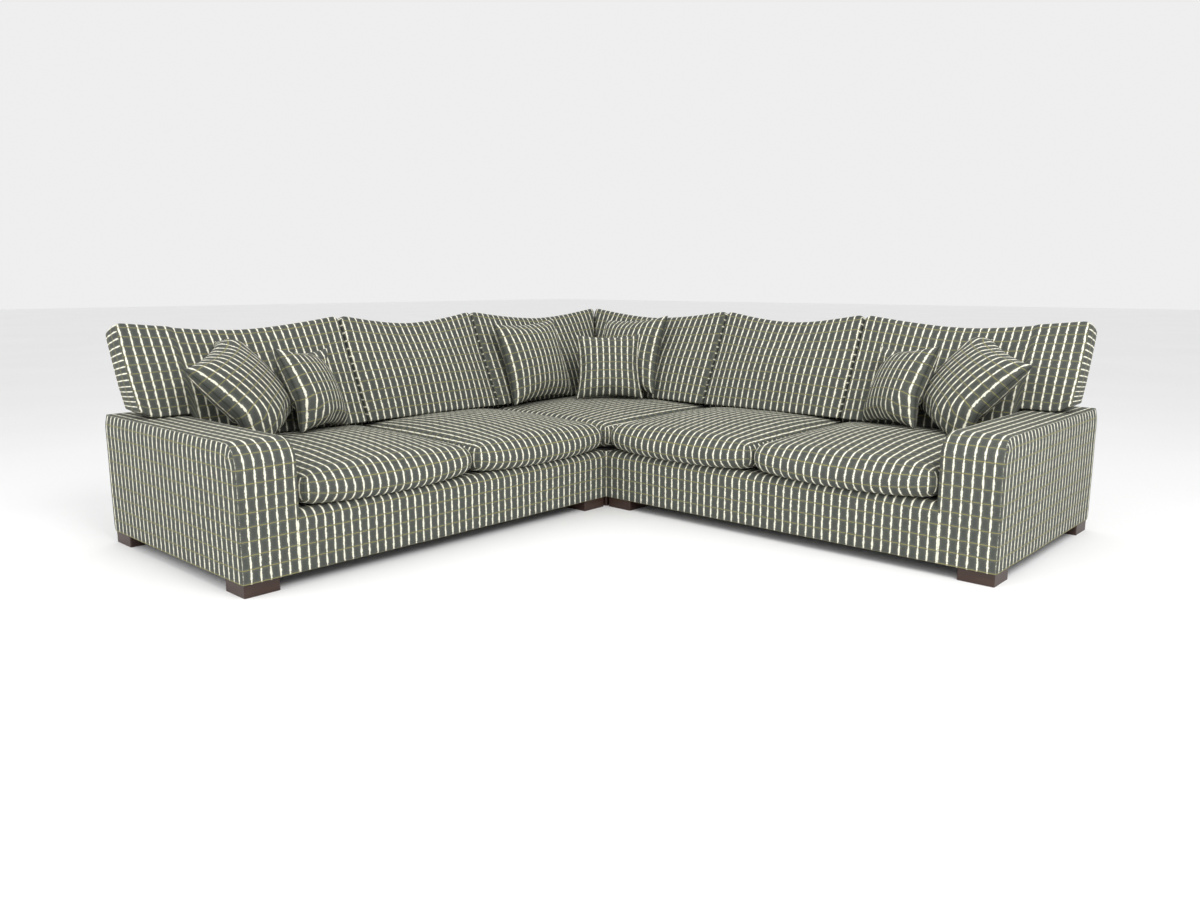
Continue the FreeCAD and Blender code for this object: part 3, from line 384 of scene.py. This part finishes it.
def back_cushion(name, x0, x1, body, nodes, mirror=False, over_arm=False, mitred=False, seed=0.0):
    """One boxed back cover between x0 and x1; seed varies the unevenness of its stuffing."""
    width, tall, deep = x1 - x0, BACK_TALL, BACK_DEEP
    xs = spaced(0, width, 0.016)
    if over_arm:
        step = RUN - x0
        near = step + np.array([-0.018, -0.009, -0.002, 0.004, 0.012])
        xs = np.unique(np.concatenate([xs[np.abs(xs - step) > 0.02], near]))
    ys, zs = spaced(0, deep, 0.016), spaced(0, tall, 0.016)
    flat, quads, panels = box_mesh(xs, ys, zs)
    box = rounded(flat, (0, 0, 0), (width, deep, tall), 0.012)
    x, y, z = box.T
    s, t = np.clip(y / deep, 0, 1), np.clip(z / tall, 0, 1)
    across = 2 * x / width - 1
    dx, dz = EAR - (width / 2 - np.abs(x - width / 2)), EAR - (tall - z)
    both = (dx > 0) & (dz > 0)
    reach, length = np.maximum(dx, dz), np.hypot(dx, dz)
    scale = np.where(both, reach / np.maximum(length, 1e-9), 1)
    x = np.where(both, width / 2 + np.sign(x - width / 2) * (width / 2 - EAR + dx * scale), x)
    z = np.where(both, tall - EAR + dz * scale, z)
    t = np.clip(z / tall, 0, 1)
    front = FOOT_FRONT + np.outer(t, HIGH_FRONT - FOOT_FRONT)
    rear = FOOT_BACK + np.outer(t, HIGH_BACK - FOOT_BACK)
    section = front + (rear - front) * s[:, None]
    forward = np.array([-(HIGH_FRONT - FOOT_FRONT)[1], (HIGH_FRONT - FOOT_FRONT)[0]])
    forward /= np.linalg.norm(forward)
    full = (1 - np.abs(across) ** 3) * np.sin(np.pi * np.clip(t * 0.94 + 0.03, 0, 1)) ** 0.6
    bulge = FULL_FRONT * full * (1 - s) + 0.003 * ripple(box, 5, seed) * (1 - s)
    section = section + bulge[:, None] * forward
    sag = SAG * (1 - np.abs(across) ** 1.7) * smooth((t - 0.3) / 0.7)
    section[:, 1] += 0.014 * smooth((t - 0.6) / 0.4) - sag + 0.006 * np.sin(np.pi * s) * (t > 0.97)
    if over_arm:
        raised = smooth((x - (RUN - x0) + 0.018) / 0.022) * (OVER_ARM - FOOT_Z)
        floor_z = FOOT_Z + raised
        keep = (TOP_Z - floor_z) / (TOP_Z - FOOT_Z)
        section[:, 1] = TOP_Z - (TOP_Z - section[:, 1]) * keep
        low = (x > width - 0.09) & (t < 0.35)
        lift = 0.03 * smooth((x - width + 0.09) / 0.09) ** 2 * (1 - t / 0.35)
        section[:, 1] += np.where(low, lift, 0)
        moved_y = raised / (TOP_Z - FOOT_Z) * (HIGH_FRONT - FOOT_FRONT)[0] * (1 - t)
        section[:, 0] += np.where(raised > 0, moved_y, 0)
    if mitred:
        start = -section[:, 0] + 0.0015
        x = start + (x / width) * (-0.0014 - start) - x0
    pull = 0.004 * (1 - np.sin(np.pi * s)) * smooth((np.abs(across) - 0.9) / 0.1)
    x = x - np.sign(across) * pull
    shape = np.stack([x + x0, section[:, 0], section[:, 1]], axis=1)
    uvs = []
    for quad, (axis, far) in zip(quads, panels):
        p, w = flat[quad], shape[quad]
        if axis == 0:
            uvs.append([(c[2], c[1]) for c in p])
        elif axis == 1:
            uvs.append([(g[0] + 0.004, c[2]) for c, g in zip(p, w)])
        else:
            uvs.append([(g[0] + 0.004, tall + c[1]) for c, g in zip(p, w)])
    seams = seam_distance(flat, (0, 0, 0), (width, deep, tall))
    item = mesh_object(name, shape, quads, uvs, seams, CLOTH, mirror)
    refine(item)
    finish_piece(item, body, nodes)
    return item


backs = {}
for side, mirror in SIDES:
    backs["inner", side] = back_cushion(
        f"back_inner_{side}_cover", 0.0014, 0.8046, f"back_inner_{side}",
        [f"back_cushion_inner_{side}"], mirror, seed=1.7)
    backs["end", side] = back_cushion(
        f"back_end_{side}_cover", 0.8074, 1.826, f"back_end_{side}",
        [f"back_cushion_end_{side}"], mirror, over_arm=True, seed=4.2)
    backs["corner", side] = back_cushion(
        f"back_corner_{side}_cover", -0.98, -0.0014, f"back_corner_{side}",
        [f"back_cushion_corner_{side}"], mirror, mitred=True, seed=7.9)

# Scatter cushions are two square sheets sewn edge to edge and stuffed. Each is simulated as cloth under
# pressure, with how far a point may move capped, then bent at its corners, stood in place and
# flattened where it touches its neighbours.
FRAMES, PRESSURE, CAP = 16, 5.0, 0.010


def swollen(item):
    """The points of a closed cushion after its cloth has settled under pressure."""
    mesh = item.data
    count = len(mesh.vertices)
    rest = np.zeros(count * 3)
    mesh.vertices.foreach_get("co", rest)
    rest = rest.reshape(-1, 3)
    puff = item.modifiers.new("puff", "CLOTH")
    cloth = puff.settings
    cloth.quality = 6
    cloth.use_pressure = True
    cloth.uniform_pressure_force = PRESSURE
    cloth.tension_stiffness = cloth.compression_stiffness = 15.0
    cloth.bending_stiffness = 2.0
    cloth.effector_weights.gravity = 0
    puff.point_cache.frame_start = 1
    puff.point_cache.frame_end = FRAMES
    scene = bpy.context.scene
    for number in range(1, FRAMES + 1):
        scene.frame_set(number)
    blown = item.evaluated_get(bpy.context.evaluated_depsgraph_get()).to_mesh()
    moved = np.zeros(count * 3)
    blown.vertices.foreach_get("co", moved)
    item.modifiers.clear()
    scene.frame_set(1)
    step = moved.reshape(-1, 3) - rest
    length = np.linalg.norm(step, axis=1, keepdims=True)
    step *= np.minimum(1, CAP / np.maximum(length, 1e-9))
    return rest + step


def tree_of(item):
    return BVHTree.FromPolygons([v.co.copy() for v in item.data.vertices],
                                [tuple(p.vertices) for p in item.data.polygons])


def pressed(points, others, clearance=0.0012, reach=0.09):
    """Flatten a cushion where it would go into its neighbours."""
    points = np.array(points)
    for tree in others:
        for i, p in enumerate(points):
            near, normal, _, distance = tree.find_nearest(Vector(p), reach)
            if near is None:
                continue
            depth = (Vector(p) - near).dot(normal)
            if depth < -0.6 * distance or distance < clearance:
                points[i] = near + normal * clearance
    return points


def pillow(side, fill):
    """Points of a square cushion lying flat, its quads and its cloth coordinates."""
    count = 40
    line = np.linspace(-1, 1, count + 1)
    line = np.sign(line) * (1 - (1 - np.abs(line)) ** 1.15)
    found, points, quads, uvs = {}, [], [], []
    half = side / 2
    for upper in (True, False):
        for i in range(count):
            for j in range(count):
                ring = [(i, j), (i + 1, j), (i + 1, j + 1), (i, j + 1)]
                if not upper:
                    ring.reverse()
                quad = []
                for a, b in ring:
                    rim = a in (0, count) or b in (0, count)
                    key = (a, b, rim or upper)
                    if key not in found:
                        found[key] = len(points)
                        swell = 0 if rim else (1 if upper else -1)
                        dome = (1 - line[a] ** 2) * (1 - line[b] ** 2)
                        draw = 1 - 0.10 * (1 - np.array([line[b], line[a]]) ** 2)
                        x, y = np.array([line[a], line[b]]) * draw * half
                        points.append([x, y, swell * fill / 2 * dome ** 0.5])
                    quad.append(found[key])
                quads.append(quad)
                uvs.append([(line[a] * half, line[b] * half) for a, b in ring])
    points = np.array(points)
    item = mesh_object("pillow_trial", points, quads, uvs, np.ones(len(points)), CLOTH, shift=0)
    out = swollen(item)
    bpy.data.objects.remove(item)
    flat = {n: pair for quad, pairs in zip(quads, uvs) for n, pair in zip(quad, pairs)}
    rim = np.array([half - max(abs(c) for c in flat[n]) for n in range(len(points))])
    return out, quads, uvs, rim


def folded(points, at, along, angle, softness):
    """Bend what lies beyond a line in the cushion's plane: forward for a positive angle."""
    points = np.array(points)
    at, along = np.array(at), np.array(along, float)
    along /= np.linalg.norm(along)
    beyond = np.array([-along[1], along[0]])
    distance = (points[:, :2] - at) @ beyond
    turn = math.radians(angle) * smooth(distance / softness + 0.5)
    pivot = points[:, :2] - np.outer(distance, beyond)
    reach, height = distance, points[:, 2]
    new_reach = reach * np.cos(turn) - height * np.sin(turn)
    new_height = reach * np.sin(turn) + height * np.cos(turn)
    result = np.column_stack([pivot + np.outer(new_reach, beyond), new_height])
    return np.where((distance > -softness / 2)[:, None], result, points)


def stand(points, facing, lean_back, roll, centre):
    """Roll, lean and turn a flat cushion, in degrees, with its middle in millimetres."""
    turn = (Matrix.Rotation(math.radians(facing + 90), 3, "Z")
            @ Matrix.Rotation(math.radians(90 - lean_back), 3, "X")
            @ Matrix.Rotation(math.radians(roll), 3, "Z"))
    return points @ np.array(turn).T + np.array(centre) / 1000


def scatter_piece(name, form, place, body, node, others, folds=(), mirror=False):
    """A stuffed square, bent, stood in its place and flattened against the others."""
    points, quads, uvs, rim = form
    for fold in folds:
        points = folded(points, *fold)
    points = stand(points, *place) + INNER
    points = pressed(points, [tree_of(other) for other in others])
    points = pressed(points, [tree_of(other) for other in others])
    item = mesh_object(name, points, quads, uvs, rim, CLOTH, mirror, shift=0)
    refine(item)
    finish_piece(item, body, [node])
    return item


large = pillow(0.470, 0.176)
small = pillow(0.392, 0.156)
LARGE_FOLDS = [((-0.13, 0.14), (1, 0.9), -30, 0.06), ((0.10, -0.12), (-1, -0.8), -30, 0.05)]
SMALL_FOLDS = [((-0.10, 0.11), (1, 1), 40, 0.04), ((0.10, -0.10), (-1, -1), -25, 0.04)]
for side, mirror in SIDES:
    big = scatter_piece(f"scatter_large_{side}_cover", large, (-122, 37, -20, (1434, 698, 635)),
                        f"scatter_large_{side}", f"scatter_large_{side}",
                        [seats["end", "right"], backs["end", "right"]], LARGE_FOLDS, mirror=mirror)
    if side == "right":
        first = big
    scatter_piece(f"scatter_small_{side}_cover", small, (-127, 25, 6, (1130, 702, 612)),
                  f"scatter_small_{side}", f"scatter_small_{side}",
                  [seats["end", "right"], backs["end", "right"], first], SMALL_FOLDS, mirror=mirror)
left_large = scatter_piece("scatter_corner_left_cover", large, (0, 18, 2, (-764, 261, 646)),
                           "scatter_corner_large_left", "scatter_corner_large_left",
                           [seats["corner"], backs["corner", "left"]])
right_large = scatter_piece("scatter_corner_right_cover", large, (-90, 20, 4, (-516, 770, 659)),
                            "scatter_corner_large_right", "scatter_corner_large_right",
                            [seats["corner"], backs["corner", "right"]])
scatter_piece("scatter_corner_small_cover", small, (-45, 23, 0, (-493, 569, 610)),
              "scatter_corner_small", "scatter_corner_small",
              [seats["corner"], left_large, right_large])

# Arms are boards padded and covered: the front panel wraps over the nose and runs back along the top,
# sewn to the flat inner and outer panels.
ARM, DEPTH, LOW, ARM_TOP, ARM_NOSE = 0.240, 1.100, 0.048, 0.536, 0.088


def corner_round(a, b, radius):
    """Depths from two sides, with the square corner between them turned into a radius."""
    da, db = radius - a, radius - b
    inside = (da > 0) & (db > 0)
    reach, length = np.maximum(da, db), np.maximum(np.hypot(da, db), 1e-9)
    scale = np.where(inside, reach / length, 1)
    return np.where(inside, radius - da * scale, a), np.where(inside, radius - db * scale, b)


def arm_cover(side, mirror):
    """A whole covered arm, its long edges rounded more on the inner side than on the outer."""
    high, nose = ARM_TOP - LOW, ARM_NOSE
    edge = (0.0, 0.004, 0.009, 0.016, 0.026, 0.034)
    xs = spaced(0, ARM, 0.018, edge)
    ys = spaced(0, DEPTH, 0.018, edge)
    zs = spaced(0, high, 0.018, edge)
    flat, quads, panels = box_mesh(xs, ys, zs)
    x, y, z = flat.T
    depth = np.stack([y, high - z, DEPTH - y, z])
    for inner, radius in ((True, 0.032), (False, 0.011)):
        near = x if inner else ARM - x
        ring = np.minimum(np.minimum(depth[0], depth[1]), depth[2])
        new_near, new_ring = corner_round(near, ring, radius)
        x = new_near if inner else ARM - new_near
        depth[:3] = np.maximum(depth[:3], new_ring)
    front, top = corner_round(depth[0], depth[1], nose)
    y = np.where(flat[:, 1] < DEPTH / 2, front, DEPTH - depth[2])
    back, bottom = corner_round(DEPTH - y, z, 0.028)
    y, z_low = DEPTH - back, bottom
    z = np.where(flat[:, 2] > high / 2, high - top, z_low)
    z = np.where((flat[:, 2] > high / 2) & (y > nose), high - depth[1], z)
    outer = smooth((flat[:, 0] - ARM + 0.02) / 0.02)
    x = x - 0.008 * outer * smooth((z - high + 0.07) / 0.07) ** 2
    shape = np.stack([x + RUN, y, z + LOW], axis=1)
    shape[:, 2] += 0.0015 * ripple(shape, 6, 2.2) * (flat[:, 2] > high - 0.02)
    shape[:, 0] += 0.0012 * ripple(shape, 5, 8.2) * outer - 0.0012 * outer
    uvs = []
    arc = math.pi / 4
    for quad, (axis, far) in zip(quads, panels):
        p = flat[quad]
        if axis == 0:
            uvs.append([(c[1] + 0.012, c[2] + 0.046) for c in p])
        elif axis == 1:
            uvs.append([(c[0] + 0.012, min(c[2], high - nose) + max(0, c[2] - high + nose) * arc + 0.046)
                        for c in p])
        else:
            uvs.append([(c[0] + 0.012, high - nose + nose * arc + min(c[1], nose) * arc
                         + max(0, c[1] - nose) + 0.046) for c in p])
    seams = seam_distance(flat, (0, 0, 0), (ARM, DEPTH, high))
    seams = np.where((flat[:, 0] > 0.001) & (flat[:, 0] < ARM - 0.001), 1.0, seams)
    item = mesh_object(f"arm_{side}_upholstery", shape, quads, uvs, seams, CLOTH, mirror)
    refine(item)
    return finish_piece(item, "base", [f"arm_cover_{side}"])


for side, mirror in SIDES:
    arm_cover(side, mirror)

# Base fronts are padded cloth over the frame's front rail, rolled over into a bull nose, with plain
# cloth walls where two units meet.


def turn_points(cy, cz, radius, start, end, parts):
    """Points along an arc, in degrees, about a middle in the (y, z) plane."""
    angles = np.radians(np.linspace(start, end, parts))
    return [(cy + radius * math.cos(a), cz + radius * math.sin(a)) for a in angles]


def dense(outline, step):
    """A closed outline with points about a step apart."""
    result = []
    for (a, b), (c, d) in zip(outline, outline[1:] + outline[:1]):
        parts = max(1, round(math.hypot(c - a, d - b) / step))
        result += [(a + (c - a) * i / parts, b + (d - b) * i / parts) for i in range(parts)]
    return result


def swept(name, outline, x0, x1, mirror=False, mitre=False):
    """A closed outline of (y, z) points carried along X, closed at both ends."""
    ring = dense(outline, 0.02)
    xs = spaced(x0, x1, 0.025, (0.0, 0.003, 0.008, 0.016))
    count = len(ring)
    points, quads, uvs = [], [], []
    lengths = [0.0]
    for p, q in zip(ring, ring[1:] + ring[:1]):
        lengths.append(lengths[-1] + math.hypot(q[0] - p[0], q[1] - p[1]))
    for x in xs:
        for y, z in ring:
            share = (x - x0) / (x1 - x0)
            points.append([(-y + share * (x1 + y)) if mitre else x, y, z])
    for i in range(len(xs) - 1):
        for j in range(count):
            k = (j + 1) % count
            quad = [i * count + j, (i + 1) * count + j, (i + 1) * count + k, i * count + k]
            quads.append(quad)
            uvs.append([(points[n][0] + 0.0018, lengths[j + 1 if side else j])
                        for n, side in zip(quad, (False, False, True, True))])
    for ends, order in ((0, 1), ((len(xs) - 1) * count, -1)):
        cap = [ends + j for j in range(count)][::order]
        quads.append(cap)
        uvs.append([(points[n][1], points[n][2]) for n in cap])
    points = np.array(points)
    points[:, 1] += 0.0015 * (ripple(points, 6, 5.5) - 0.6) * np.where(points[:, 1] > 0.5, 1, -1)
    return mesh_object(name, points, quads, uvs, np.ones(len(points)), CLOTH, mirror)


def joined(name, items):
    """Several meshes made one piece."""
    with bpy.context.temp_override(active_object=items[0], selected_editable_objects=items):
        bpy.ops.object.join()
    items[0].name = name
    return items[0]


def slab(name, low, high, material=CLOTH, mirror=False, radius=0.002):
    """A thin or thick rounded panel of cloth over board or felt."""
    sides = [spaced(a, b, 0.04, (0.0, radius)) for a, b in zip(low, high)]
    flat, quads, panels = box_mesh(*sides)
    uvs = []
    for quad, (axis, far) in zip(quads, panels):
        a, b = [(1, 2), (0, 2), (0, 1)][axis]
        uvs.append([(c[a], c[b]) for c in flat[quad]])
    return mesh_object(name, rounded(flat, low, high, radius), quads, uvs, np.ones(len(flat)),
                       material, mirror)


BASE_OUTLINE = ([(0.003, LOW), (0.0008, 0.0505), (0.0008, 0.09), (0.0008, 0.14), (0.0008, 0.19)]
                + turn_points(NOSE_Y, NOSE_Z, NOSE_RADIUS, 180, 90, 9)
                + [(0.150, 0.2715), (0.150, 0.2610), (0.045, 0.2610)]
                + turn_points(0.046, NOSE_Z, 0.034, 90, 180, 6) + [(0.012, LOW)])
WALL_TOP, WALL_BACK = BASE_TOP - 0.001, 0.895
for side, mirror in SIDES:
    front = swept(f"base_{side}_front", BASE_OUTLINE, 0.0, RUN + 0.022, mirror=mirror)
    wall = slab(f"base_{side}_wall", (0, 0.024, LOW), (0.006, WALL_BACK, WALL_TOP), mirror=mirror)
    item = joined(f"base_{side}_upholstery", [front, wall])
    finish_piece(item, "base", [f"base_border_{side}"])
walls = [slab("base_corner_wall_a", (-0.006, 0.0, LOW), (0, WALL_BACK, WALL_TOP)),
         slab("base_corner_wall_b", (-WALL_BACK, 0.0, LOW), (-0.006, 0.006, WALL_TOP))]
item = joined("base_corner_upholstery", walls)
finish_piece(item, "base", ["base_border_corner"])

# Upholstered backs stand on the frames behind the cushions, padded over boards and sloped in front to
# the cushions' lean. The corner unit's is sewn in two halves that meet in a seam down the outer corner.
BACK_TOP = 0.612
TOP_FRONT = SEAT_BACK + (BACK_TOP - 0.430) * LEAN
BACK_OUTLINE = ([(1.0990, LOW), (1.0990, BACK_TOP - 0.012)]
                + turn_points(1.0870, BACK_TOP - 0.012, 0.012, 0, 90, 5) + [(TOP_FRONT + 0.012, BACK_TOP)]
                + turn_points(TOP_FRONT + 0.010, BACK_TOP - 0.010, 0.010, 90, 155, 4)
                + [(SEAT_BACK, 0.430), (SEAT_BACK, 0.2725), (1.0860, 0.2725), (1.0860, LOW)])
for side, mirror in SIDES:
    item = swept(f"back_{side}_upholstery", BACK_OUTLINE, 0.0, RUN, mirror=mirror)
    finish_piece(item, "base", [f"back_cover_{side}"])
    item = swept(f"back_corner_{side}_upholstery", BACK_OUTLINE, -1.0995, 0.0, mirror=mirror, mitre=True)
    finish_piece(item, "base", [f"back_cover_corner_{side}"])

# Deck pads are fibre padding under plain dark cloth, lying over the seat straps and fixed to the frame.
# The loose seat cushions lie on them.
# Plain cotton cloth, dull and dark, made near black as painted shade so that the gap under the cushions
# reads black.
DECK = plain("deck_cloth", "25231f", "3a372f", 0.95, 30, weave=2600.0, sheen=0.1)
DECK_LOW, DECK_HIGH, DECK_BACK = 0.2372, 0.2712, 0.8965
for side, mirror in SIDES:
    item = slab(f"deck_{side}_pad", (0.0006, 0.1505, DECK_LOW), (RUN - 0.0006, DECK_BACK, DECK_HIGH),
                DECK, mirror, 0.006)
    finish_piece(item, "base", [f"seat_deck_{side}"])
item = slab("deck_corner_pad", (-DECK_BACK, 0.0065, DECK_LOW), (-0.0065, DECK_BACK, DECK_HIGH), DECK,
            radius=0.006)
finish_piece(item, "base", ["seat_deck_corner"])

# Foam blocks are cut from open-cell seat foam and lie loose inside the seat covers, which hide them
# unless a cushion is opened.
# Cream open-cell foam: chalky, with fine pores.
FOAM = plain("foam", "cdbf97", "e6dcb8", 0.95, 90, depth=0.0012, strength=0.6)
for name in ("inner_right", "end_right", "inner_left", "end_left", "corner"):
    low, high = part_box(f"seat_foam_{name}")
    flat_low, flat_high = np.array(low) - INNER, np.array(high) - INNER
    item = slab(f"foam_{name}_block", flat_low, flat_high, FOAM, radius=0.004)
    finish_piece(item, f"seat_{name}", [f"seat_foam_{name}"])

# Dust cloths are thin black cloth, stretched flat and stapled under each unit's frame, to keep dust
# and fingers out of it.
DUST = plain("dust_cloth", "0c0c0c", "1c1c1c", 0.95, 60, weave=3000.0)
CELLS, DUST_LEVEL = 39, 0.0476
for name in ("right", "left", "corner"):
    low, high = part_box(f"dust_cover_{name}")
    row = CELLS + 1
    xs, ys = np.linspace(low.x, high.x, row), np.linspace(low.y, high.y, row)
    points = [(x, y, DUST_LEVEL + 0.0004 * noise.noise(Vector((x * 5, y * 5, 1.0)))) for x in xs for y in ys]
    corners = [i * row + j for i in range(CELLS) for j in range(CELLS)]
    quads = [[n, n + row, n + row + 1, n + 1] for n in corners]
    uvs = [[(points[n][0], points[n][1]) for n in quad] for quad in quads]
    item = mesh_object(f"dust_{name}_cloth", points, quads, uvs, np.ones(len(points)), DUST, shift=0)
    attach(item, "base")
    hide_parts(f"dust_cover_{name}")

# A plain pale studio floor, an even white world with two soft lamps, and a camera at the photograph's
# viewing angle.
mesh = bpy.data.meshes.new("studio_floor")
mesh.from_pydata([(-40, -40, 0), (40, -40, 0), (40, 40, 0), (-40, 40, 0)], [], [(0, 1, 2, 3)])
floor = bpy.data.objects.new("studio_floor", mesh)
bpy.context.scene.collection.objects.link(floor)
material, tree, shader = new_material("studio_floor", 0.9, specular=0.1)
place = add(tree, "ShaderNodeTexCoord").outputs["Object"]
tree.links.new(blend_colour(tree, grain(tree, place, 0.6), linear("f2f2f2"), linear("f8f8f8")),
               shader.inputs["Base Color"])
mesh.materials.append(material)

world = bpy.data.worlds.new("studio")
bpy.context.scene.world = world
world.use_nodes = True
world.node_tree.nodes["Background"].inputs[0].default_value = (1, 1, 1, 1)
world.node_tree.nodes["Background"].inputs[1].default_value = 0.86
bpy.context.scene.view_settings.view_transform = "Standard"


def lamp(name, place, target, size, power):
    """A round soft light that shines from a place to a target."""
    light = bpy.data.lights.new(name, "AREA")
    light.shape = "DISK"
    light.size = size
    light.energy = power
    item = bpy.data.objects.new(name, light)
    item.location = place
    item.rotation_euler = (Vector(target) - Vector(place)).to_track_quat("-Z", "Y").to_euler()
    bpy.context.scene.collection.objects.link(item)


lamp("key", (3.4, -1.2, 3.6), (0.2, 0.4, 0.3), 2.8, 130)
lamp("fill", (-1.0, -4.0, 2.6), (-0.5, 0.5, 0.4), 3.4, 50)

camera_data = bpy.data.cameras.new("camera")
camera_data.sensor_width = 36
camera_data.lens = 28.26
camera = bpy.data.objects.new("camera", camera_data)
camera.location = (2.590, -2.929, 1.069)
camera.rotation_euler = Euler((math.radians(90 - 10.446), 0, math.radians(42.299)))
bpy.context.scene.collection.objects.link(camera)
bpy.context.scene.camera = camera
